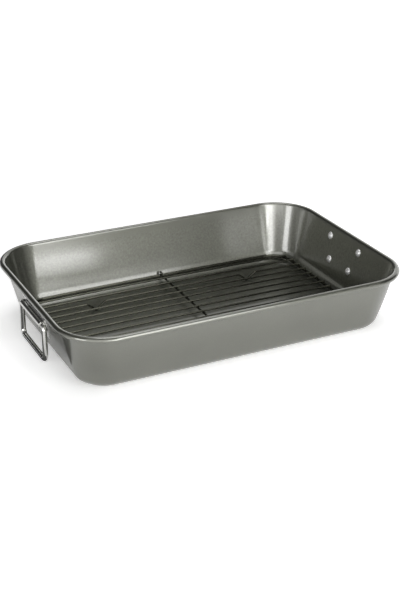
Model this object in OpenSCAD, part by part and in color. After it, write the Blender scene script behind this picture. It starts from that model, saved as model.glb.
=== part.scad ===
// Roasting pan with a rolled rim, two drop handles and a lift-out wire rack.
// The pan stands on z = 0, its length lies along X and its width along Y.

/* [Pan] */
// Length over the rolled rim
rim_l = 420; // [400:1:460]
// Width over the rolled rim
rim_w = 287.6; // [270:0.2:320]
// Height of the pan
pan_h = 72.4; // [68:0.1:90]
// Thickness of the pressed sheet
sheet_t = 0.9; // [0.7:0.1:1.4]
// Outward lean of the walls, in degrees
draft_a = 14.1; // [8:0.1:16]
// Outer radius of the bend between floor and wall
base_r = 16.6; // [15:0.1:19]
// Radius of the rim's corners in plan
corner_r = 56.5; // [56:0.5:66]
// Diameter of the rolled edge
roll_d = 6.9; // [5.6:0.1:7.2]
// Part of the turn that the rolled edge leaves open, in degrees
roll_open_a = 50; // [30:5:80]

/* [Bracket] */
// Thickness of the bracket's sheet
bracket_t = 0.9; // [0.8:0.1:1.2]
// Half width of the plate at its top
plate_top_hw = 38.5; // [38:0.5:42]
// Half width of the plate at its foot
plate_foot_hw = 28.5; // [28:0.5:34]
// Radius of the plate's corners
plate_corner_r = 5; // [3:0.5:6]
// Sheet left round a rivet, from its centre to the plate's edge
rivet_margin = 6.4; // [6:0.1:7]
// Length of the rolled knuckle that holds the handle
knuckle_l = 65.4; // [58:0.2:66]
// Radius of the bend where the knuckle leaves the plate
knuckle_bend_r = 1.4; // [1:0.1:1.6]
// Width of the seam where the knuckle's two layers meet
seam_w = 0.4; // [0.2:0.1:0.6]

/* [Rivets] */
// Diameter of a rivet's shank
rivet_d = 5; // [4:0.5:6]
// Diameter of the domed head inside the pan
head_d = 9.4; // [8.6:0.2:10]
// Height of the domed head inside the pan
head_h = 2.5; // [1.8:0.1:3]
// Diameter of the closing head on the bracket
tail_d = 7.6; // [7:0.2:8.4]
// Height of the closing head on the bracket
tail_h = 1.6; // [1.2:0.1:2]
// Upper rivets, sideways from the middle
rivet_top_y = 32; // [29:0.5:32]
// Lower rivets, sideways from the middle
rivet_foot_y = 22; // [18:0.5:22]
// Upper rivets, along the wall above the hinge
rivet_up = 10.2; // [10:0.1:11]
// Lower rivets, along the wall below the hinge
rivet_down = 17.5; // [14:0.5:19]

/* [Handle] */
// Diameter of the handle's rod
bail_d = 6; // [5.4:0.1:6.2]
// Width of the handle between the middles of its legs
bail_w = 76; // [75:0.5:80]
// Drop from the hinge to the middle of the grip
bail_drop = 40.6; // [34:0.2:42]
// Bend radius beside the knuckle, at the middle of the rod
bail_top_r = 5; // [4.5:0.1:5]
// Bend radius at the grip, at the middle of the rod
bail_grip_r = 7; // [5:0.5:12]
// Height of the hinge above the floor
hinge_z = 47.2; // [46:0.2:48]
// Gap between the rod's two ends inside the knuckle
bail_gap = 1; // [0.5:0.1:4]

/* [Rack] */
// Length of the rack's frame between its wires' middles
frame_l = 356; // [350:1:357]
// Diameter of the frame's wire
frame_d = 3.6; // [3:0.1:3.8]
// Corner radius of the frame, at the middle of its wire
frame_corner_r = 27; // [26:1:32]
// Number of lengthwise rods
rod_count = 14; // [14:2:14]
// Distance between the rods, and from the last rod to the frame
rod_pitch = 15.45; // [15:0.05:15.5]
// Diameter of the rods
rod_d = 2.5; // [2.2:0.1:3]
// Height of the rods' middles above the table
rod_z = 10.6; // [10:0.1:12]
// How far a rod reaches past the middle of the frame's end wire
rod_overhang = 1.2; // [0.6:0.1:1.6]
// Diameter of the cross wire
cross_d = 2.5; // [2.2:0.1:3]
// Cross wire, lengthwise from the middle of the rack
cross_x = 3.7; // [-10:0.1:10]
// Radius at which the cross wire's end rises beside the frame, at its middle
rise_r = 1.6; // [1.5:0.1:2]
// Turn that the cross wire's end takes over the frame, in degrees
hook_a = 120; // [95:5:125]

/* [Rack feet] */
// Rods that carry feet, counted from each side of the rack
foot_rod = 3; // [2:1:4]
// Feet, lengthwise from the middle of the rack
foot_x = 102; // [60:1:130]
// Half width of a foot where it leaves the rod
foot_hw = 11.8; // [10:0.2:16]
// Radius of the wire's middle at the foot's tip
foot_tip_r = 2.4; // [2:0.1:3]
// Radius of the wire's middle where the foot leaves the rod
foot_top_r = 2.6; // [2:0.1:4]

/* [Fits] */
// Gap between the handle's rod and its knuckle, all round
hinge_fit = 0.1; // [0.05:0.01:0.1]
// Gap between the rack's feet and the pan's floor
foot_fit = 0.02; // [0.01:0.01:0.1]

/* [Hidden] */
$fn = 96;
// Fineness of the wires' round sections
wire_fn = 48;
// Turn that the rolled edge keeps against the wall before its gap, in degrees
roll_seat_a = 8;
// How far a cutter runs past the faces that it cuts
over = 1;
// A bend in a wire is thicker than the wire by this much
swell = 0.02;
// How far a straight wire runs into a bend
lap = 0.1;

function half(v) = v / 2;
function pad2(n) = str(n < 10 ? "0" : "", n);

ROD_NAMES = [for (i = [1:rod_count]) str("rack_rod_", pad2(i))];

// The section of floor bend, wall and rolled edge is drawn once, with its
// own zero at the edge of the flat floor, and swept round the pan.
roll_r = half(roll_d);
roll_z = pan_h - roll_r;
// Distance from the edge of the flat floor out to the middle of the rolled edge
wall_run = (roll_z * sin(draft_a) + roll_r - sheet_t + base_r * (1 - sin(draft_a))) / cos(draft_a);
floor_l = rim_l - roll_d - 2 * wall_run;
floor_w = rim_w - roll_d - 2 * wall_run;
floor_r = corner_r - roll_r - wall_run;
corner_x = half(rim_l) - corner_r;
corner_y = half(rim_w) - corner_r;
// Where the wall's outer face leaves the floor bend, and where it meets the roll
bend_end = [base_r * cos(draft_a), base_r * (1 - sin(draft_a))];
roll_start = [
    wall_run - (roll_r - sheet_t) * cos(draft_a),
    roll_z + (roll_r - sheet_t) * sin(draft_a)
];

// Outer face of the end wall at a height
function wall_x(z) = half(floor_l) + (base_r + (z - base_r) * sin(draft_a)) / cos(draft_a);

// The hinge stands off the wall, and its foot is the point of the wall behind it
knuckle_bore = bail_d + 2 * hinge_fit;
knuckle_r = half(knuckle_bore) + bracket_t;
hinge_off = bracket_t + knuckle_r;
hinge_foot_z = hinge_z + hinge_off * sin(draft_a);
hinge_x = wall_x(hinge_foot_z) + hinge_off * cos(draft_a);

// The rack's wires are stacked: frame and cross wire below, rods on top
frame_w = (rod_count + 1) * rod_pitch;
frame_z = rod_z - half(rod_d) - half(frame_d);
cross_z = rod_z - half(rod_d) - half(cross_d);
foot_drop = rod_z - half(rod_d) - sheet_t - foot_fit;

module annulus(outer, inner) {
    difference() {
        circle(r = outer);
        circle(r = inner);
    }
}

// The part of a ring that leads from the flat floor up to the leaning wall
module floor_bend() {
    translate([0, base_r]) intersection() {
        annulus(base_r, base_r - sheet_t);
        polygon([
            [0, 0],
            [0, -base_r - over],
            [base_r + over, -base_r - over],
            2 * base_r * [cos(draft_a), -sin(draft_a)]
        ]);
    }
}

module wall_strip() {
    inward = sheet_t * [-cos(draft_a), sin(draft_a)];
    polygon([bend_end, roll_start, roll_start + inward, bend_end + inward]);
}

// The sheet's edge curls outwards and down, and stops short of the wall
module rolled_edge() {
    open_from = 180 - draft_a + roll_seat_a;
    open_middle = open_from + half(roll_open_a);
    open_to = open_from + roll_open_a;
    translate([wall_run, roll_z]) difference() {
        annulus(roll_r, roll_r - sheet_t);
        polygon([
            [0, 0],
            roll_d * [cos(open_from), sin(open_from)],
            roll_d * [cos(open_middle), sin(open_middle)],
            roll_d * [cos(open_to), sin(open_to)]
        ]);
    }
}

module wall_section() {
    floor_bend();
    wall_strip();
    rolled_edge();
    translate([-over, 0]) square([over, sheet_t]);
}

module straight_wall(length, out) {
    rotate([90, 0, 0]) translate([out, 0, -half(length)])
        linear_extrude(length) wall_section();
}

module corner_wall() {
    rotate_extrude(angle = 90) translate([floor_r, 0]) wall_section();
}

module pan_floor() {
    linear_extrude(sheet_t) {
        square([floor_l, floor_w - 2 * floor_r], center = true);
        square([floor_l - 2 * floor_r, floor_w], center = true);
        for (sx = [-1, 1], sy = [-1, 1])
            translate([sx * corner_x, sy * corner_y]) circle(r = floor_r);
    }
}

// Places children on the outer face of an end wall: X out of the wall,
// Z up along it, zero behind the hinge. Side is 1 at the right, -1 at the left.
module on_wall(side) {
    rotate([0, 0, side > 0 ? 0 : 180])
        translate([wall_x(hinge_foot_z), 0, hinge_foot_z])
            rotate([0, draft_a, 0]) children();
}

module at_rivets() {
    for (s = [-1, 1]) {
        translate([0, s * rivet_top_y, rivet_up]) children();
        translate([0, s * rivet_foot_y, -rivet_down]) children();
    }
}

module rivet_holes(depth_in, depth_out) {
    at_rivets() translate([-depth_in, 0, 0]) rotate([0, 90, 0])
        cylinder(d = rivet_d, h = depth_in + depth_out);
}

module pan() {
    color("#86877f") difference() {
        union() {
            pan_floor();
            for (a = [0, 180]) {
                rotate(a) straight_wall(2 * corner_y, half(floor_l));
                rotate(a) translate([corner_x, corner_y, 0]) corner_wall();
                rotate(a) translate([-corner_x, corner_y, 0]) rotate(90) corner_wall();
                rotate(a + 90) straight_wall(2 * corner_x, half(floor_w));
            }
        }
        for (side = [-1, 1]) on_wall(side) rivet_holes(sheet_t + over, over);
    }
}

// Outline of the bracket's plate, drawn with the wall's upward line along Y
module plate_outline() {
    top = rivet_up + rivet_margin - plate_corner_r;
    foot = -rivet_down - rivet_margin + plate_corner_r;
    top_hw = plate_top_hw - plate_corner_r;
    foot_hw_in = plate_foot_hw - plate_corner_r;
    // The sloping sides touch the corner circles of top and foot
    lean = atan2(top_hw - foot_hw_in, top - foot);
    side = plate_corner_r * [cos(lean), -sin(lean)];
    polygon([
        [top_hw, top + plate_corner_r], [top_hw, top], [top_hw + side[0], top + side[1]],
        [foot_hw_in + side[0], foot + side[1]], [foot_hw_in, foot], [foot_hw_in, foot - plate_corner_r],
        [-foot_hw_in, foot - plate_corner_r], [-foot_hw_in, foot], [-foot_hw_in - side[0], foot + side[1]],
        [-top_hw - side[0], top + side[1]], [-top_hw, top], [-top_hw, top + plate_corner_r]
    ]);
    for (s = [-1, 1]) {
        translate([s * top_hw, top]) circle(r = plate_corner_r);
        translate([s * foot_hw_in, foot]) circle(r = plate_corner_r);
    }
}

// The knuckle's section: a ring that leaves the plate in two small bends
module knuckle_section() {
    bend_off = 2 * sqrt(knuckle_r * knuckle_bend_r);
    touch = hinge_off - (knuckle_r - knuckle_bend_r) * knuckle_r / (knuckle_r + knuckle_bend_r);
    translate([hinge_off, 0]) circle(r = knuckle_r);
    difference() {
        translate([0, -bend_off]) square([touch, 2 * bend_off]);
        for (s = [-1, 1])
            translate([bracket_t + knuckle_bend_r, s * bend_off]) circle(r = knuckle_bend_r);
    }
}

module bracket(side) {
    on_wall(side) difference() {
        union() {
            rotate([90, 0, 90]) linear_extrude(bracket_t) plate_outline();
            rotate([90, 0, 0]) translate([0, 0, -half(knuckle_l)])
                linear_extrude(knuckle_l) knuckle_section();
        }
        translate([hinge_off, half(knuckle_l) + over, 0]) rotate([90, 0, 0])
            cylinder(d = knuckle_bore, h = knuckle_l + 2 * over);
        translate([bracket_t, -half(knuckle_l) - over, -half(seam_w)])
            cube([knuckle_r, knuckle_l + 2 * over, seam_w]);
        rivet_holes(over, bracket_t + over);
    }
}

module left_bracket() {
    color("#c9cac6") bracket(-1);
}

module right_bracket() {
    color("#c9cac6") bracket(1);
}

// A low dome that stands on its flat side, as a slice of a ball
module dome(d, h) {
    ball_r = (half(d) * half(d) + h * h) / (2 * h);
    rotate_extrude() intersection() {
        translate([0, h - ball_r]) circle(r = ball_r);
        square([half(d), h]);
    }
}

module rivet() {
    translate([-sheet_t, 0, 0]) {
        rotate([0, 90, 0]) cylinder(d = rivet_d, h = sheet_t + bracket_t);
        rotate([0, -90, 0]) dome(head_d, head_h);
    }
    translate([bracket_t, 0, 0]) rotate([0, 90, 0]) dome(tail_d, tail_h);
}

module left_rivets() {
    color("#e2e2df") on_wall(-1) at_rivets() rivet();
}

module right_rivets() {
    color("#e2e2df") on_wall(1) at_rivets() rivet();
}

// A straight round rod along X, from one place to another
module rod_x(d, from, to) {
    translate([from, 0, 0]) rotate([0, 90, 0]) cylinder(d = d, h = to - from, $fn = wire_fn);
}

// A bent round rod: an arc in the XY plane about the origin
module arc_rod(d, r, start, turn) {
    rotate(start) rotate_extrude(angle = turn) translate([r, 0]) circle(d = d, $fn = wire_fn);
}

// The handle, flat in the XY plane: hinge along X, legs towards -Y
module bail_flat() {
    leg_x = half(bail_w);
    top_x = leg_x - bail_top_r;
    grip_x = leg_x - bail_grip_r;
    for (m = [0, 1]) mirror([m, 0, 0]) {
        rod_x(bail_d, half(bail_gap), top_x);
        translate([top_x, -bail_top_r, 0]) arc_rod(bail_d, bail_top_r, 0, 90);
        translate([leg_x, -bail_top_r, 0]) rotate(-90)
            rod_x(bail_d, 0, bail_drop - bail_top_r - bail_grip_r);
        translate([grip_x, bail_grip_r - bail_drop, 0]) arc_rod(bail_d, bail_grip_r, -90, 90);
    }
    translate([0, -bail_drop, 0]) rod_x(bail_d, -grip_x, grip_x);
}

module bail(side) {
    color("#d4d5d2") rotate([0, 0, side > 0 ? 0 : 180])
        translate([hinge_x, 0, hinge_z]) rotate([90, 0, 90]) bail_flat();
}

module left_bail() {
    bail(-1);
}

module right_bail() {
    bail(1);
}

// The frame is one closed wire with round corners
module rack_frame() {
    side_x = half(frame_l) - frame_corner_r;
    side_y = half(frame_w) - frame_corner_r;
    color("#2b2c29") translate([0, 0, frame_z]) for (a = [0, 180]) rotate(a) {
        translate([0, half(frame_w), 0]) rod_x(frame_d, -side_x, side_x);
        translate([half(frame_l), 0, 0]) rotate(90) rod_x(frame_d, -side_y, side_y);
        translate([side_x, side_y, 0]) arc_rod(frame_d, frame_corner_r, 0, 90);
        translate([-side_x, side_y, 0]) arc_rod(frame_d, frame_corner_r, 90, 90);
    }
}

// The cross wire runs under the rods. Each end rises beside the frame,
// touching it, and hooks over it.
rise_up = cross_z + rise_r - frame_z;
touch_d = half(frame_d) + half(cross_d) + half(swell) + rise_r;
hook_r = sqrt(touch_d * touch_d - rise_up * rise_up) - rise_r;
run_end_y = half(frame_w) - hook_r - rise_r;

module rack_cross_wire() {
    lap_a = lap / hook_r * 180 / PI;
    color("#2b2c29") translate([cross_x, 0, 0]) {
        translate([0, 0, cross_z]) rotate(90) rod_x(cross_d, -run_end_y - lap, run_end_y + lap);
        for (m = [0, 1]) mirror([0, m, 0]) {
            translate([0, run_end_y, cross_z + rise_r]) rotate([90, 0, 90])
                arc_rod(cross_d + swell, rise_r, -90, 90);
            translate([0, half(frame_w), cross_z + rise_r]) rotate([90, 0, 90])
                arc_rod(cross_d, hook_r, 180 - hook_a, hook_a + lap_a);
        }
    }
}

// Sideways place of a rod, and how far it reaches until it has crossed the frame
function rod_y(i) = (i - (rod_count + 1) / 2) * rod_pitch;
function frame_reach(y) =
    let (past = max(0, abs(y) - half(frame_w) + frame_corner_r))
    half(frame_l) - frame_corner_r + sqrt(frame_corner_r * frame_corner_r - past * past);
function rod_end(y) = frame_reach(y) + rod_overhang;

// A foot is a V in the XZ plane, bent from the rod's own wire
foot_a = atan2(foot_drop - foot_tip_r, foot_hw)
    + asin(foot_tip_r / norm([foot_drop - foot_tip_r, foot_hw]));
foot_bend_x = foot_hw + foot_top_r * tan(foot_a / 2);

module foot() {
    tip = [foot_tip_r * sin(foot_a), -foot_drop + foot_tip_r * (1 - cos(foot_a))];
    top = [foot_bend_x - foot_top_r * sin(foot_a), -foot_top_r * (1 - cos(foot_a))];
    translate([0, 0, foot_tip_r - foot_drop]) rotate([90, 0, 0])
        arc_rod(rod_d + swell, foot_tip_r, -90 - foot_a, 2 * foot_a);
    for (m = [0, 1]) mirror([m, 0, 0]) {
        translate([tip[0], 0, tip[1]]) rotate([0, -foot_a, 0])
            rod_x(rod_d, -lap, norm(top - tip) + lap);
        translate([foot_bend_x, 0, -foot_top_r]) rotate([90, 0, 0])
            arc_rod(rod_d + swell, foot_top_r, 90, foot_a);
    }
}

module footed_rod(end) {
    for (m = [0, 1]) mirror([m, 0, 0]) {
        translate([foot_x, 0, 0]) foot();
        rod_x(rod_d, foot_x + foot_bend_x - lap, end);
    }
    rod_x(rod_d, foot_bend_x - foot_x - lap, foot_x - foot_bend_x + lap);
}

module rack_rod(i) {
    end = rod_end(rod_y(i));
    color("#363733") translate([0, rod_y(i), rod_z])
        if (i == foot_rod || i == rod_count + 1 - foot_rod) footed_rod(end);
        else rod_x(rod_d, -end, end);
}

pan();
left_bracket();
right_bracket();
left_bail();
right_bail();
left_rivets();
right_rivets();
rack_frame();
rack_cross_wire();
for (i = [1:rod_count])
    rack_rod(i);
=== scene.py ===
"""Roasting pan with a rolled rim, drop handles and a wire rack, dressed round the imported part."""

import math

import bmesh
import bpy
from bpy.props import FloatProperty, FloatVectorProperty, IntProperty, PointerProperty
from mathutils import Matrix, Vector


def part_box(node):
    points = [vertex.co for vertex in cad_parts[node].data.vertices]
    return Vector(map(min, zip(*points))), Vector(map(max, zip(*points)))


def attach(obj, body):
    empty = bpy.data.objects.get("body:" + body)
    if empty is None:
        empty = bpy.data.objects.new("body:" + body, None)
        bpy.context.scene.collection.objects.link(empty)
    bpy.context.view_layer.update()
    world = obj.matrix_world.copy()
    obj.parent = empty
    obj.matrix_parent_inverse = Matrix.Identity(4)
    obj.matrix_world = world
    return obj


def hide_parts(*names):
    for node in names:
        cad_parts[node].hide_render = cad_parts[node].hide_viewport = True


bl_info = {
    "name": "Roasting Pan",
    "version": (1, 0, 0),
    "blender": (4, 5, 0),
    "location": "View3D > Sidebar > Roasting Pan",
    "description": "Builds a roasting pan with its handles and wire rack",
    "category": "Object",
}

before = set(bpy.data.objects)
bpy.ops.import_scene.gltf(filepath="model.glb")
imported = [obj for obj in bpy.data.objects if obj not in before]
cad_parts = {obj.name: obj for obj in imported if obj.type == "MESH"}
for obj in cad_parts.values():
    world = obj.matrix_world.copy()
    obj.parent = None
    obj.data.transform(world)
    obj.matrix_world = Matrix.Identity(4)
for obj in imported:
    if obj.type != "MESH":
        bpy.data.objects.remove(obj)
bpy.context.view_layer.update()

MM = 0.001
UP = Vector((0, 0, 1))
ALONG = Vector((1, 0, 0))
ACROSS = Vector((0, 1, 0))
ROD_NODES = sorted(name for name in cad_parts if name.startswith("rack_rod_"))


def size(name, description, default):
    """A length that a user may change."""
    return FloatProperty(
        name=name, description=description, default=default, min=0.0, unit="LENGTH", subtype="DISTANCE"
    )


def turn(name, description, degrees):
    """An angle that a user may change."""
    return FloatProperty(
        name=name, description=description, default=math.radians(degrees), unit="ROTATION", subtype="ANGLE"
    )


def share(name, description, default):
    """A number from 0 to 1 that a user may change."""
    return FloatProperty(
        name=name, description=description, default=default, min=0.0, max=1.0, subtype="FACTOR"
    )


def colour(name, description, default):
    """A linear colour that a user may change."""
    return FloatVectorProperty(
        name=name, description=description, default=default, size=3, min=0.0, max=1.0, subtype="COLOR"
    )


class PanSettings(bpy.types.PropertyGroup):
    """The pressed pan."""

    sheet: size("Sheet", "Thickness of the pressed sheet", 0.9 * MM)
    lean: turn("Lean", "Outward lean of the walls", 14.1)
    bow: turn("Bow", "Lean that the long walls gain from the bow's level down to the table", 6.5)
    bow_level: size("Bow level", "Height at which the long walls have their plain lean", 52 * MM)
    bow_foot: size("Bow foot", "Height below which the walls are drawn in no further", 12 * MM)
    base_radius: size("Base radius", "Outer radius of the bend between floor and wall", 16.6 * MM)
    corner_radius: size("Corner radius", "Radius of the rim's corners in plan", 56.5 * MM)
    roll: size("Roll", "Diameter of the rolled edge", 6.9 * MM)
    roll_turn: turn("Roll turn", "How far the edge is rolled", 302)
    coat: colour("Coat", "Colour of the satin coating", (0.184, 0.188, 0.156))
    gloss: share("Roughness", "Roughness of the satin coating", 0.42)


class HandleSettings(bpy.types.PropertyGroup):
    """The drop handles, their brackets and their rivets."""

    top_radius: size("Top radius", "Bend beside the knuckle, at the middle of the rod", 5 * MM)
    grip_radius: size("Grip radius", "Bend at the grip, at the middle of the rod", 7 * MM)
    end_gap: size("End gap", "Gap between the rod's ends inside the knuckle", 1 * MM)
    soft_edge: size("Soft edge", "Rounding of the bracket's cut edges", 0.25 * MM)
    steel: colour("Steel", "Colour of the polished steel", (0.80, 0.80, 0.78))
    rivet: colour("Rivet", "Colour of the rivets", (0.98, 0.98, 0.97))


class RackSettings(bpy.types.PropertyGroup):
    """The lift-out wire rack."""

    corner_radius: size("Corner radius", "Corners of the frame, at the middle of its wire", 27 * MM)
    foot_half: size("Foot half width", "Half width of a foot where it leaves its rod", 11.8 * MM)
    foot_place: size("Foot place", "Feet, lengthwise from the middle of the rack", 102 * MM)
    tip_radius: size("Foot tip", "Radius of the wire's middle at the foot's tip", 2.4 * MM)
    top_radius: size("Foot top", "Radius of the wire's middle where the foot leaves the rod", 2.6 * MM)
    rise_radius: size("Rise", "Radius at which the cross wire's end rises", 1.6 * MM)
    hook_turn: turn("Hook", "Turn that the cross wire's end takes over the frame", 120)
    sag: size("Sag", "How far the rack's ends hang below its middle", 1.6 * MM)
    overhang: size("Overhang", "How far a rod reaches past the middle of the frame's wire", 1.2 * MM)
    weld: size("Weld", "Half length of the weld where two wires cross", 1.7 * MM)
    weld_height: size("Weld height", "Height of the weld where two wires cross", 0.5 * MM)
    coat: colour("Coat", "Colour of the dark coating", (0.085, 0.086, 0.068))


class StudioSettings(bpy.types.PropertyGroup):
    """Floor, lamps and camera."""

    azimuth: turn("Azimuth", "Camera's turn round the pan, from straight in front", -25.88)
    elevation: turn("Elevation", "Camera's height above the horizon", 24.84)
    distance: size("Distance", "From the camera to the point it looks at", 1485.07 * MM)
    target_x: size("Target along", "Point that the camera looks at, along the pan", 23.46 * MM)
    target_y: size("Target across", "Point that the camera looks at, across the pan", 41.51 * MM)
    lens: FloatProperty(name="Lens", description="Focal length on a 36 mm sensor", default=72.54, min=1.0)
    floor_half: size("Floor", "Half the floor's width", 9.0)
    steps: IntProperty(name="Steps", description="Segments in a wire's round section", default=24, min=8)


# Drawing shapes


def smooth_step(value, low, high):
    """Rises softly from 0 to 1 between two values."""
    part = min(max((value - low) / (high - low), 0.0), 1.0)
    return part * part * (3 - 2 * part)


class Pen:
    """Draws a line or a tube on from its end, by straight runs and bends."""

    def __init__(self, bm, start, place, heading):
        self.bm = bm
        self.end = start
        self.place = Vector(place)
        self.heading = Vector(heading).normalized()

    def _extrude(self, centre, axis, angle, step, steps):
        made = bmesh.ops.spin(
            self.bm, geom=self.end, cent=centre, axis=axis, angle=angle, dvec=step, steps=steps
        )
        self.end = made["geom_last"]

    def run(self, length, steps=1):
        """Goes straight on."""
        self._extrude(self.place, UP, 0.0, self.heading * (length / steps), steps)
        self.place = self.place + self.heading * length
        return self

    def bend(self, radius, angle, toward, steps):
        """Bends towards a direction that is square to the heading."""
        side = Vector(toward) - self.heading * self.heading.dot(Vector(toward))
        side.normalize()
        axis = self.heading.cross(side)
        centre = self.place + side * radius
        self._extrude(centre, axis, angle, Vector(), steps)
        rotation = Matrix.Rotation(angle, 3, axis)
        self.place = centre + rotation @ (self.place - centre)
        self.heading = rotation @ self.heading
        return self


def ring_pen(bm, place, heading, radius, sides):
    """A pen that draws round wire, and the edges of its first ring."""
    heading = Vector(heading).normalized()
    placed = Matrix.Translation(place) @ heading.to_track_quat("Z", "Y").to_matrix().to_4x4()
    made = bmesh.ops.create_circle(bm, cap_ends=False, radius=radius, segments=sides, matrix=placed)
    verts = made["verts"]
    edges = list({edge for vert in verts for edge in vert.link_edges})
    return Pen(bm, verts + edges, place, heading), edges


def close_wire_end(bm, edges, radius, outward):
    """Caps a wire's end, with its cut edge taken off."""
    made = bmesh.ops.extrude_edge_only(bm, edges=edges)
    verts = [g for g in made["geom"] if isinstance(g, bmesh.types.BMVert)]
    rim = [edge for edge in edges_of(made["geom"]) if all(vert in verts for vert in edge.verts)]
    centre = sum((v.co for v in verts), Vector()) / len(verts)
    narrowed = 0.8
    bmesh.ops.scale(bm, vec=(narrowed,) * 3, space=Matrix.Translation(-centre), verts=verts)
    bmesh.ops.translate(bm, vec=Vector(outward) * radius * (1 - narrowed), verts=verts)
    bmesh.ops.contextual_create(bm, geom=rim)


def edges_of(geometry):
    """Only the edges of some bmesh geometry."""
    return [g for g in geometry if isinstance(g, bmesh.types.BMEdge)]


def make_piece(name, bm, body, stands_for, sharp=math.radians(40)):
    """Makes a bmesh an object that stands for CAD nodes and rides on their body."""
    bmesh.ops.recalc_face_normals(bm, faces=bm.faces)
    mesh = bpy.data.meshes.new(name)
    bm.to_mesh(mesh)
    bm.free()
    mesh.shade_smooth()
    mesh.set_sharp_from_angle(angle=sharp)
    piece = bpy.data.objects.new(name, mesh)
    bpy.context.scene.collection.objects.link(piece)
    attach(piece, body)
    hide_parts(*stands_for)
    return piece


def weight_normals(piece):
    """Lets the large faces of a pressed or flat shape set its shading."""
    modifier = piece.modifiers.new("Shading", "WEIGHTED_NORMAL")
    modifier.mode = "FACE_AREA_WITH_ANGLE"
    modifier.keep_sharp = True
    modifier.weight = 80


def paint(piece, material):
    """Gives a piece its one material."""
    piece.data.materials.clear()
    piece.data.materials.append(material)


# Materials


class Value:
    """A shader socket that can be used in sums."""

    def __init__(self, finish, socket):
        self.finish = finish
        self.socket = socket

    def _sum(self, operation, first, second):
        return self.finish.node("ShaderNodeMath", {"operation": operation}, {0: first, 1: second})

    def __add__(self, other):
        return self._sum("ADD", self, other)

    __radd__ = __add__

    def __mul__(self, other):
        return self._sum("MULTIPLY", self, other)

    __rmul__ = __mul__

    def __sub__(self, other):
        return self._sum("SUBTRACT", self, other)

    def __rsub__(self, other):
        return self._sum("SUBTRACT", other, self)


class Finish:
    """One material while it is put together."""

    def __init__(self, name):
        self.material = bpy.data.materials.new(name)
        self.material.use_nodes = True
        self._start(self.material.node_tree)

    def _start(self, tree):
        self.tree = tree
        self.tree.nodes.clear()

    def node(self, kind, settings=None, inputs=None, output=0):
        """Adds a node: its settings first, then the values or links of its sockets."""
        made = self.tree.nodes.new(kind)
        for name, value in (settings or {}).items():
            setattr(made, name, value)
        for name, value in (inputs or {}).items():
            if isinstance(value, Value):
                self.tree.links.new(value.socket, made.inputs[name])
            else:
                made.inputs[name].default_value = value
        return Value(self, made.outputs[output])

    def place(self):
        """The place on the object, in metres."""
        return self.node("ShaderNodeTexCoord", output="Object")

    def vector(self, operation, first, second=(0.0, 0.0, 0.0), output="Vector"):
        """One step of vector maths."""
        return self.node("ShaderNodeVectorMath", {"operation": operation}, {0: first, 1: second}, output)

    def stretched(self, factors):
        """The place, with each axis stretched or drawn in."""
        inputs = {"Vector": self.place(), "Scale": factors}
        return self.node("ShaderNodeMapping", {"vector_type": "POINT"}, inputs)

    def noise(self, grain, detail=2.0, rough=0.5, vector=None):
        """Cloudy noise whose patches are about as wide as the grain."""
        inputs = {"Vector": vector or self.place(), "Scale": 1 / grain, "Detail": detail, "Roughness": rough}
        return self.node("ShaderNodeTexNoise", {"noise_dimensions": "3D"}, inputs)

    def spread(self, value, low, high):
        """Turns noise, which stays round a half, into a range that it fills."""
        limits = {"Value": value, "From Min": 0.3, "From Max": 0.7, "To Min": low, "To Max": high}
        return self.node("ShaderNodeMapRange", {"clamp": True}, limits)

    def smooth(self, value, low, high):
        """Rises softly from 0 to 1 between two values."""
        limits = {"Value": value, "From Min": low, "From Max": high}
        return self.node("ShaderNodeMapRange", {"interpolation_type": "SMOOTHSTEP"}, limits)

    def shaded(self, base, factor):
        """A base colour made lighter or darker by a factor."""
        grey = self.node("ShaderNodeCombineColor", {}, {"Red": factor, "Green": factor, "Blue": factor})
        settings = {"data_type": "RGBA", "blend_type": "MULTIPLY", "clamp_result": False}
        return self.node("ShaderNodeMix", settings, {"Factor": 1.0, 6: (*base, 1.0), 7: grey}, output=2)

    def below(self, level, fade):
        """1 up to a height on the object, and 0 from a fade above it."""
        height = self.node("ShaderNodeSeparateXYZ", {}, {"Vector": self.place()}, output="Z")
        limits = {"Value": height, "From Min": level, "From Max": level + fade, "To Min": 1.0, "To Max": 0.0}
        return self.node("ShaderNodeMapRange", {"clamp": True}, limits)

    def bump(self, height, depth, strength=1.0):
        """Small relief of a given depth."""
        return self.node("ShaderNodeBump", {}, {"Strength": strength, "Distance": depth, "Height": height})

    def finish(self, sockets):
        """Ends the material in one principled shader."""
        shader = self.node("ShaderNodeBsdfPrincipled", {}, sockets)
        self.node_output(shader)
        return self.material

    def node_output(self, shader):
        """Links a shader to the material's output."""
        output = self.tree.nodes.new("ShaderNodeOutputMaterial")
        self.tree.links.new(shader.socket, output.inputs["Surface"])


def satin_coat(name, settings, speckled):
    """Satin baked coating with fine metal flakes, and a share of coarser speckle below the rim."""
    finish = Finish(name)
    flakes = finish.noise(1.1 * MM, detail=1.0)
    patches = finish.noise(45 * MM, detail=2.0)
    peel = finish.noise(2.2 * MM, detail=1.0)
    speckle = finish.noise(2.4 * MM, detail=2.0, rough=0.7) - 0.5
    coarse = 1.0 + finish.below(60 * MM, 4 * MM) * speckle * speckled
    shade = finish.spread(flakes, 0.95, 1.05) * finish.spread(patches, 0.97, 1.03) * coarse
    return finish.finish({
        "Base Color": finish.shaded(settings.coat, shade),
        "Metallic": 1.0,
        "Roughness": finish.spread(flakes, settings.gloss - 0.04, settings.gloss + 0.04),
        "Coat Weight": 1.0,
        "Coat IOR": 2.0,
        "Coat Roughness": 0.14,
        "Normal": finish.bump(peel + 0.5 * flakes, 0.12 * MM, 0.6),
    })


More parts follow.
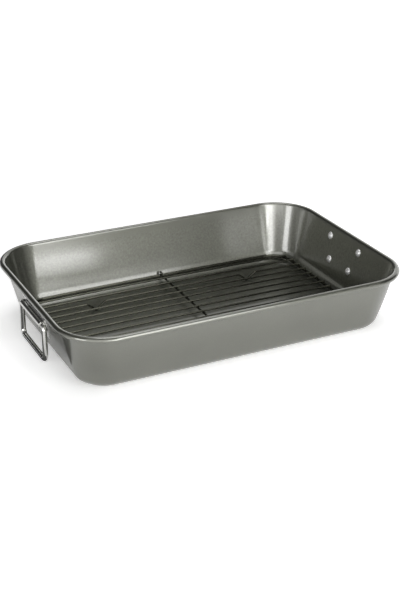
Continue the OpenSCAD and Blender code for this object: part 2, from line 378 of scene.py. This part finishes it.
def polished_steel(name, base, rough, grain, metallic=1.0):
    """Polished metal with faint polishing marks."""
    finish = Finish(name)
    marks = finish.noise(grain, detail=1.0, vector=finish.stretched((1.0, 0.12, 1.0)))
    smears = finish.noise(9 * MM, detail=2.0)
    return finish.finish({
        "Base Color": finish.shaded(base, finish.spread(smears, 0.96, 1.02)),
        "Metallic": metallic,
        "Roughness": finish.spread(smears, rough - 0.02, rough + 0.03) + finish.spread(marks, 0.0, 0.03),
        "Normal": finish.bump(marks, 0.002 * MM, 0.3),
    })


def dark_coat(settings):
    """Thin dark non-stick coating on wire."""
    finish = Finish("dark_coat")
    peel = finish.noise(0.9 * MM, detail=2.0)
    worn = finish.noise(14 * MM, detail=3.0)
    return finish.finish({
        "Base Color": finish.shaded(settings.coat, finish.spread(worn, 0.85, 1.2)),
        "Metallic": 1.0,
        "Roughness": finish.spread(peel, 0.17, 0.25),
        "Normal": finish.bump(peel, 0.03 * MM, 0.5),
    })


# The pan


def press_sheet(pan):
    """The pan's upper face: one line from floor to rolled edge, swept round the four sides."""
    low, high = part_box("pan")
    rim = high - low
    roll_radius = pan.roll / 2
    roll_height = rim.z - roll_radius
    lean_sin = math.sin(pan.lean)
    lean_cos = math.cos(pan.lean)
    bend = pan.base_radius - pan.sheet
    bend_out = pan.base_radius * (1 - lean_sin)
    wall_out = (roll_height * lean_sin + roll_radius - pan.sheet + bend_out) / lean_cos
    floor_half = rim.x / 2 - roll_radius - wall_out
    flat_strip = 2 * MM
    corner_x = rim.x / 2 - pan.corner_radius
    corner_y = rim.y / 2 - pan.corner_radius

    bm = bmesh.new()
    start = Vector((floor_half - flat_strip, corner_y, pan.sheet))
    line = Pen(bm, [bm.verts.new(start)], start, ALONG)
    line.run(flat_strip, 2)
    line.bend(bend, math.pi / 2 - pan.lean, UP, 18)
    to_roll = Vector((floor_half + wall_out, corner_y, roll_height)) - line.place
    support = 1 * MM
    line.run(support).run(line.heading.dot(to_roll) - 2 * support, 14).run(support)
    line.bend(roll_radius, pan.roll_turn, ALONG, 48)

    bm.edges.ensure_lookup_table()
    section = list(bm.verts) + list(bm.edges)
    sweep = Pen(bm, section, (corner_x + pan.corner_radius, corner_y, 0), ACROSS)
    for toward, straight in ((-ALONG, corner_x), (-ACROSS, corner_y), (ALONG, corner_x), (ACROSS, corner_y)):
        sweep.bend(pan.corner_radius, math.pi / 2, toward, 28)
        sweep.run(2 * straight, 20)
    bmesh.ops.remove_doubles(bm, verts=bm.verts, dist=0.01 * MM)
    floor_edge = [e for e in bm.edges if e.is_boundary and all(v.co.z < bend for v in e.verts)]
    bmesh.ops.contextual_create(bm, geom=floor_edge)
    bow_sides(bm, pan, Vector((corner_x, corner_y)))
    return bm


def bow_sides(bm, pan, corner):
    """Leans the long walls more towards the floor, and leaves the end walls flat for the brackets."""
    roll_radius = pan.roll / 2
    roll_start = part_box("pan")[1].z - roll_radius * (1 - math.sin(pan.lean))
    wall_top = pan.corner_radius - roll_radius * (1 + math.cos(pan.lean))
    level = pan.bow_level
    spare = 0.5 * MM
    for vert in bm.verts:
        x, y, z = abs(vert.co.x), abs(vert.co.y), vert.co.z
        out = Vector((max(x - corner.x, 0.0), max(y - corner.y, 0.0)))
        rolled = out.length > wall_top - (roll_start - z) * math.tan(pan.lean) + spare
        if out.length == 0 or z > roll_start or rolled:
            continue
        out.normalize()
        below, above = level - max(z, pan.bow_foot), level - roll_start
        drawn_in = math.tan(pan.bow) * (below**2 - above**2) / (2 * level)
        inward = out * drawn_in * smooth_step(out.y, 0.15, 0.65)
        vert.co.x = math.copysign(x - inward.x, vert.co.x)
        vert.co.y = math.copysign(y - inward.y, vert.co.y)


class ROAST_OT_pan(bpy.types.Operator):
    """Press the pan with its leaning walls and rolled rim"""

    bl_idname = "roast.pan"
    bl_label = "Pan"

    def execute(self, context):
        settings = context.scene.roast_pan
        bm = press_sheet(settings)
        piece = make_piece("pan_shell", bm, "pan", ["pan"])
        if min(piece.data.polygons, key=lambda face: face.center.z).normal.z < 0:
            piece.data.flip_normals()
        wall = piece.modifiers.new("Sheet", "SOLIDIFY")
        wall.thickness = settings.sheet
        wall.offset = -1
        wall.use_even_offset = True
        wall.material_offset = 1
        weight_normals(piece)
        paint(piece, satin_coat("inner_coat", settings, speckled=0.8))
        piece.data.materials.append(satin_coat("outer_coat", settings, speckled=0.0))
        return {"FINISHED"}


# Handles


class ROAST_OT_brackets(bpy.types.Operator):
    """Give both handle brackets their polished sheet"""

    bl_idname = "roast.brackets"
    bl_label = "Brackets"

    def execute(self, context):
        settings = context.scene.roast_handle
        steel = polished_steel("bracket_steel", settings.steel, rough=0.05, grain=1.2 * MM)
        for side in ("left", "right"):
            node = side + "_bracket"
            bm = bmesh.new()
            bm.from_mesh(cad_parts[node].data)
            bmesh.ops.remove_doubles(bm, verts=bm.verts, dist=0.005 * MM)
            piece = make_piece(side + "_bracket_plate", bm, "pan", [node])
            soft = piece.modifiers.new("Soft edges", "BEVEL")
            soft.width = settings.soft_edge
            soft.segments = 3
            soft.limit_method = "ANGLE"
            soft.angle_limit = math.radians(50)
            weight_normals(piece)
            paint(piece, steel)
        return {"FINISHED"}


class ROAST_OT_bails(bpy.types.Operator):
    """Bend both drop handles from round rod"""

    bl_idname = "roast.bails"
    bl_label = "Handles"

    def execute(self, context):
        settings = context.scene.roast_handle
        sides = context.scene.roast_studio.steps
        steel = polished_steel("handle_steel", settings.steel, rough=0.06, grain=1.5 * MM)
        for side in ("left", "right"):
            node = side + "_bail"
            low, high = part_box(node)
            radius = (high.x - low.x) / 2
            leg = high.y - radius
            hinge = high.z - radius
            drop = hinge - low.z - radius
            top, grip = settings.top_radius, settings.grip_radius
            bm = bmesh.new()
            start = ((low.x + high.x) / 2, settings.end_gap / 2, hinge)
            pen, first = ring_pen(bm, start, ACROSS, radius, sides)
            pen.run(leg - top - settings.end_gap / 2, 2).bend(top, math.pi / 2, -UP, 12)
            pen.run(drop - top - grip, 2).bend(grip, math.pi / 2, -ACROSS, 14)
            pen.run(2 * (leg - grip), 4).bend(grip, math.pi / 2, UP, 14)
            pen.run(drop - top - grip, 2).bend(top, math.pi / 2, ACROSS, 12)
            pen.run(leg - top - settings.end_gap / 2, 2)
            close_wire_end(bm, first, radius, -ACROSS)
            close_wire_end(bm, edges_of(pen.end), radius, ACROSS)
            paint(make_piece(side + "_handle_rod", bm, node, [node]), steel)
        return {"FINISHED"}


class ROAST_OT_rivets(bpy.types.Operator):
    """Polish the rivets"""

    bl_idname = "roast.rivets"
    bl_label = "Rivets"

    def execute(self, context):
        settings = context.scene.roast_handle
        metal = polished_steel("rivet_metal", settings.rivet, rough=0.36, grain=0.8 * MM, metallic=0.6)
        for side in ("left", "right"):
            paint(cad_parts[side + "_rivets"], metal)
        return {"FINISHED"}


# Rack


def sag_rack(bm, sag):
    """Lets the rack hang a little lower at its ends than in its middle, level at its feet."""
    rack = bpy.context.scene.roast_rack
    low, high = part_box("rack_frame")
    half = (high.x - low.x) / 2
    for vert in bm.verts:
        vert.co.z += sag * (rack.foot_place**2 - vert.co.x**2) / half**2


def add_weld(bm, place, rack):
    """A low bead of weld where two wires cross."""
    scaled = Matrix.Diagonal((rack.weld, rack.weld * 0.8, rack.weld_height, 1.0))
    bmesh.ops.create_icosphere(bm, subdivisions=2, radius=1.0, matrix=Matrix.Translation(place) @ scaled)


class ROAST_OT_rack_frame(bpy.types.Operator):
    """Bend the rack's closed frame"""

    bl_idname = "roast.rack_frame"
    bl_label = "Rack frame"

    def execute(self, context):
        rack = context.scene.roast_rack
        low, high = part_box("rack_frame")
        radius = (high.z - low.z) / 2
        corner = rack.corner_radius
        x, y = high.x - radius - corner, high.y - radius - corner
        bm = bmesh.new()
        start = (x + corner, y, (low.z + high.z) / 2)
        pen, _ = ring_pen(bm, start, ACROSS, radius, context.scene.roast_studio.steps)
        for toward, straight in ((-ALONG, x), (-ACROSS, y), (ALONG, x), (ACROSS, y)):
            pen.bend(corner, math.pi / 2, toward, 16).run(2 * straight, 20)
        bmesh.ops.remove_doubles(bm, verts=bm.verts, dist=0.01 * MM)
        sag_rack(bm, rack.sag)
        piece = make_piece("rack_frame_wire", bm, "rack", ["rack_frame"])
        paint(piece, rack_finish(context))
        return {"FINISHED"}


def rack_finish(context):
    """The rack's coating, made once."""
    return bpy.data.materials.get("dark_coat") or dark_coat(context.scene.roast_rack)


class ROAST_OT_cross_wire(bpy.types.Operator):
    """Bend the cross wire and hook its ends over the frame"""

    bl_idname = "roast.cross_wire"
    bl_label = "Cross wire"

    def execute(self, context):
        rack = context.scene.roast_rack
        low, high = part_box("rack_cross_wire")
        frame_low, frame_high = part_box("rack_frame")
        frame_radius = (frame_high.z - frame_low.z) / 2
        radius = (high.x - low.x) / 2
        frame_y, frame_z = frame_high.y - frame_radius, frame_high.z - frame_radius
        rise = rack.rise_radius
        up = low.z + radius + rise - frame_z
        reach = frame_radius + radius + rise
        hook = math.sqrt(reach**2 - up**2) - rise
        bm = bmesh.new()
        middle = ((low.x + high.x) / 2, 0, low.z + radius)
        pen, _ = ring_pen(bm, middle, ACROSS, radius, context.scene.roast_studio.steps)
        pen.run(frame_y - hook - rise, 12).bend(rise, math.pi / 2, UP, 8)
        pen.bend(hook, rack.hook_turn, ACROSS, 12)
        close_wire_end(bm, edges_of(pen.end), radius, pen.heading)
        bmesh.ops.mirror(bm, geom=bm.verts[:] + bm.edges[:] + bm.faces[:], axis="Y", merge_dist=0.01 * MM)
        sag_rack(bm, rack.sag)
        piece = make_piece("rack_cross_bar", bm, "rack", ["rack_cross_wire"])
        paint(piece, rack_finish(context))
        return {"FINISHED"}


class ROAST_OT_rods(bpy.types.Operator):
    """Draw the lengthwise rods, bend the feet and set the welds"""

    bl_idname = "roast.rods"
    bl_label = "Rods and feet"

    def execute(self, context):
        rack = context.scene.roast_rack
        sides = context.scene.roast_studio.steps
        frame_low, frame_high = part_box("rack_frame")
        frame_radius = (frame_high.z - frame_low.z) / 2
        cross_low, cross_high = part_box("rack_cross_wire")
        cross_x = (cross_low.x + cross_high.x) / 2
        for node in ROD_NODES:
            low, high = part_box(node)
            radius = (high.y - low.y) / 2
            place = Vector((low.x, (low.y + high.y) / 2, high.z - radius))
            bm = bmesh.new()
            pen, first = ring_pen(bm, place, ALONG, radius, sides)
            if high.z - low.z > 2.5 * radius:
                self.draw_footed(pen, rack, high.z - low.z - 2 * radius, -low.x)
            else:
                pen.run(high.x - low.x, 24)
            close_wire_end(bm, first, radius, -ALONG)
            close_wire_end(bm, edges_of(pen.end), radius, ALONG)
            seat = place.z - radius
            for x in (low.x + rack.overhang, high.x - rack.overhang, cross_x):
                add_weld(bm, (x, place.y, seat), rack)
            sag_rack(bm, rack.sag)
            piece = make_piece(node.replace("rack_rod", "rack_wire"), bm, "rack", [node])
            paint(piece, rack_finish(context))
        return {"FINISHED"}

    def draw_footed(self, pen, rack, drop, half_length):
        """A rod with two V-shaped feet."""
        tip, top, half = rack.tip_radius, rack.top_radius, rack.foot_half
        inner = drop - tip
        slope = math.atan2(inner, half) + math.asin(tip / math.hypot(inner, half))
        outer = half + top * math.tan(slope / 2)
        across = outer - (tip + top) * math.sin(slope)
        straight = across / math.cos(slope)
        end_run = half_length - rack.foot_place - outer
        middle_run = 2 * (rack.foot_place - outer)
        pen.run(end_run, 8)
        for next_run, steps in ((middle_run, 12), (end_run, 8)):
            pen.bend(top, slope, -UP, 6).run(straight).bend(tip, 2 * slope, UP, 10)
            pen.run(straight).bend(top, slope, -UP, 6).run(next_run, steps)


# Stage


class Sky(Finish):
    """The world's light while it is put together."""

    def __init__(self, world):
        world.use_nodes = True
        self._start(world.node_tree)
        direction = self.node("ShaderNodeTexCoord", output="Generated")
        x, y, z = (self.node("ShaderNodeSeparateXYZ", {}, {"Vector": direction}, axis) for axis in "XYZ")
        self.heading = self.node("ShaderNodeMath", {"operation": "ARCTAN2"}, {0: x, 1: y * -1.0})
        self.height = self.node("ShaderNodeMath", {"operation": "ARCSINE"}, {0: z})

    def step(self, angle, degrees, soft):
        """Rises softly from 0 to 1 where an angle passes a number of degrees."""
        return self.smooth(angle, math.radians(degrees - soft), math.radians(degrees + soft))

    def patch(self, left, right, top, soft, fade=8.0):
        """A soft patch between two headings, from the horizon up to its top, all in degrees."""
        beside = self.step(self.heading, left, soft) * (1.0 - self.step(self.heading, right, soft))
        return beside * (1.0 - self.step(self.height, top, fade))


def softbox(name, place, aim, width, height, radiance):
    """A soft lamp of a given brightness, as metal mirrors it."""
    lamp = bpy.data.lights.new(name, "AREA")
    lamp.shape = "RECTANGLE"
    lamp.size = width
    lamp.size_y = height
    lamp.energy = radiance * math.pi * width * height
    placed = bpy.data.objects.new(name, lamp)
    placed.location = place
    placed.rotation_euler = (Vector(aim) - Vector(place)).to_track_quat("-Z", "Y").to_euler()
    placed.visible_camera = False
    bpy.context.scene.collection.objects.link(placed)


def white_floor():
    """White floor that keeps the pan's soft shadow and reads as white to the camera and in metal; its camera
    glow dips round the pan's foot, a painted contact shadow.
    """
    finish = Finish("white_floor")
    camera = finish.node("ShaderNodeLightPath", output="Is Camera Ray")
    shiny = finish.node("ShaderNodeLightPath", output="Is Glossy Ray")
    # Painted shadow: the glow that the camera sees is least within about 50 mm of the foot, and rises to
    # full white some 900 mm out.
    inner_foot = (165 * MM, 90 * MM, 0.0)
    past_foot = finish.vector("SUBTRACT", finish.vector("ABSOLUTE", finish.place()), inner_foot)
    gap = finish.vector("LENGTH", finish.vector("MAXIMUM", past_foot), output="Value")
    clear = finish.smooth(gap, 10 * MM, 50 * MM)
    far = finish.smooth(finish.vector("LENGTH", finish.place(), output="Value"), 250 * MM, 900 * MM)
    strength = camera * (0.35 + 0.22 * clear + 0.43 * far) + shiny * 0.21
    matt = finish.node("ShaderNodeBsdfDiffuse", {}, {"Color": (0.95, 0.95, 0.95, 1.0)})
    glow = finish.node("ShaderNodeEmission", {}, {"Color": (1, 1, 1, 1), "Strength": strength})
    finish.node_output(finish.node("ShaderNodeAddShader", {}, {0: matt, 1: glow}))
    return finish.material


def shade_card(name, place, width, depth):
    """A card of dark grey on the floor that shows only as a mirror image in the metal: painted shade, a dark
    reflection on the end wall beside the handle.
    """
    finish = Finish(name)
    finish.node_output(finish.node("ShaderNodeBsdfDiffuse", {}, {"Color": (0.22, 0.22, 0.22, 1.0)}))
    bm = bmesh.new()
    placed = Matrix.Translation(place) @ Matrix.Diagonal((width / 2, depth / 2, 1.0, 1.0))
    bmesh.ops.create_grid(bm, x_segments=1, y_segments=1, size=1.0, matrix=placed)
    mesh = bpy.data.meshes.new(name)
    bm.to_mesh(mesh)
    bm.free()
    card = bpy.data.objects.new(name, mesh)
    card.visible_camera = card.visible_diffuse = card.visible_shadow = False
    bpy.context.scene.collection.objects.link(card)
    mesh.materials.append(finish.material)


def light_world(world):
    """Dim room with pale walls in front and at the right behind, and plain white for the camera."""
    sky = Sky(world)
    top = 0.04 + 0.1 * sky.step(sky.height, 55, 12)
    front = (
        1.1 * sky.patch(-80, -4, top=14, soft=4)
        + 1.6 * sky.patch(-50, 10, top=5, soft=4, fade=2)
        + 0.3 * sky.patch(10, 50, top=12, soft=4)
    )
    side = (
        0.4 * sky.patch(-120, -76, top=30, soft=6)
        + 1.6 * sky.patch(-64, -8, top=45, soft=6) * sky.step(sky.height, 24, 5)
    )
    behind = 0.7 * sky.patch(104, 165, top=52, soft=3) + 0.8 * sky.patch(104, 165, top=13, soft=3, fade=4)
    light = top + front + side + behind
    camera = sky.node("ShaderNodeLightPath", output="Is Camera Ray")
    strength = sky.node("ShaderNodeMix", {"data_type": "FLOAT"}, {"Factor": camera, "A": light, "B": 1.0})
    glow = sky.node("ShaderNodeBackground", {}, {"Color": (1, 1, 1, 1), "Strength": strength})
    output = sky.tree.nodes.new("ShaderNodeOutputWorld")
    sky.tree.links.new(glow.socket, output.inputs["Surface"])


class ROAST_OT_stage(bpy.types.Operator):
    """Set the floor, the lamps and the camera"""

    bl_idname = "roast.stage"
    bl_label = "Stage"

    def execute(self, context):
        scene = context.scene
        studio = scene.roast_studio
        scene.view_settings.view_transform = "Standard"
        bm = bmesh.new()
        bmesh.ops.create_grid(bm, x_segments=1, y_segments=1, size=studio.floor_half)
        mesh = bpy.data.meshes.new("floor")
        bm.to_mesh(mesh)
        bm.free()
        floor = bpy.data.objects.new("floor", mesh)
        scene.collection.objects.link(floor)
        floor.data.materials.append(white_floor())

        scene.world = scene.world or bpy.data.worlds.new("studio")
        light_world(scene.world)
        # Painted shade: a card seen only in reflections darkens the left end wall beside the handle.
        shade_card("painted shade card", place=(-0.27, -0.003, 1 * MM), width=0.142, depth=0.115)
        softbox("overhead", (0.25, 0.28, 1.7), (0, 0, 0), width=1.0, height=0.6, radiance=3.6)
        softbox("front", (-0.05, -1.03, 0.22), (-0.05, 0, 0.22), width=0.30, height=0.44, radiance=3.3)
        softbox("wide", (-0.07, -1.04, 0.22), (-0.07, 0, 0.22), width=0.60, height=0.46, radiance=2.0)
        low_aim = (-0.115, 0.13, 0.05)
        softbox("low", (0.165, -0.77, 0.153), low_aim, width=0.12, height=0.05, radiance=8.6)
        softbox("tall", (0.27, -1.0, 0.62), (0, 0.05, 0.02), width=0.50, height=0.75, radiance=3.2)
        softbox("left", (-1.21, -0.51, 0.20), (0.15, 0.12, 0.20), width=0.45, height=0.40, radiance=4.8)

        camera = bpy.data.cameras.new("camera")
        camera.sensor_width = 36
        camera.lens = studio.lens
        camera.clip_end = 50
        placed = bpy.data.objects.new("camera", camera)
        scene.collection.objects.link(placed)
        back = Vector((
            math.sin(studio.azimuth) * math.cos(studio.elevation),
            -math.cos(studio.azimuth) * math.cos(studio.elevation),
            math.sin(studio.elevation),
        ))
        target = Vector((studio.target_x, studio.target_y, 0))
        placed.location = target + back * studio.distance
        placed.rotation_euler = (-back).to_track_quat("-Z", "Y").to_euler()
        scene.camera = placed
        return {"FINISHED"}


class ROAST_PT_panel(bpy.types.Panel):
    """Lists the pan's pieces in the sidebar"""

    bl_label = "Roasting Pan"
    bl_idname = "ROAST_PT_panel"
    bl_space_type = "VIEW_3D"
    bl_region_type = "UI"
    bl_category = "Roasting Pan"

    def draw(self, context):
        for operator in OPERATORS:
            self.layout.operator(operator.bl_idname)
        for name, group in SETTINGS.items():
            box = self.layout.box()
            for prop in group.__annotations__:
                box.prop(getattr(context.scene, name), prop)


SETTINGS = {
    "roast_pan": PanSettings,
    "roast_handle": HandleSettings,
    "roast_rack": RackSettings,
    "roast_studio": StudioSettings,
}
OPERATORS = (
    ROAST_OT_pan,
    ROAST_OT_brackets,
    ROAST_OT_bails,
    ROAST_OT_rivets,
    ROAST_OT_rack_frame,
    ROAST_OT_cross_wire,
    ROAST_OT_rods,
    ROAST_OT_stage,
)


def register():
    for group in (*SETTINGS.values(), *OPERATORS, ROAST_PT_panel):
        bpy.utils.register_class(group)
    for name, group in SETTINGS.items():
        setattr(bpy.types.Scene, name, PointerProperty(type=group))


def unregister():
    for name in SETTINGS:
        delattr(bpy.types.Scene, name)
    for group in (ROAST_PT_panel, *reversed(OPERATORS), *SETTINGS.values()):
        bpy.utils.unregister_class(group)


def main():
    """Builds every piece and the stage."""
    register()
    bpy.ops.roast.pan()
    bpy.ops.roast.brackets()
    bpy.ops.roast.bails()
    bpy.ops.roast.rivets()
    bpy.ops.roast.rack_frame()
    bpy.ops.roast.cross_wire()
    bpy.ops.roast.rods()
    bpy.ops.roast.stage()


if __name__ == "__main__":
    main()
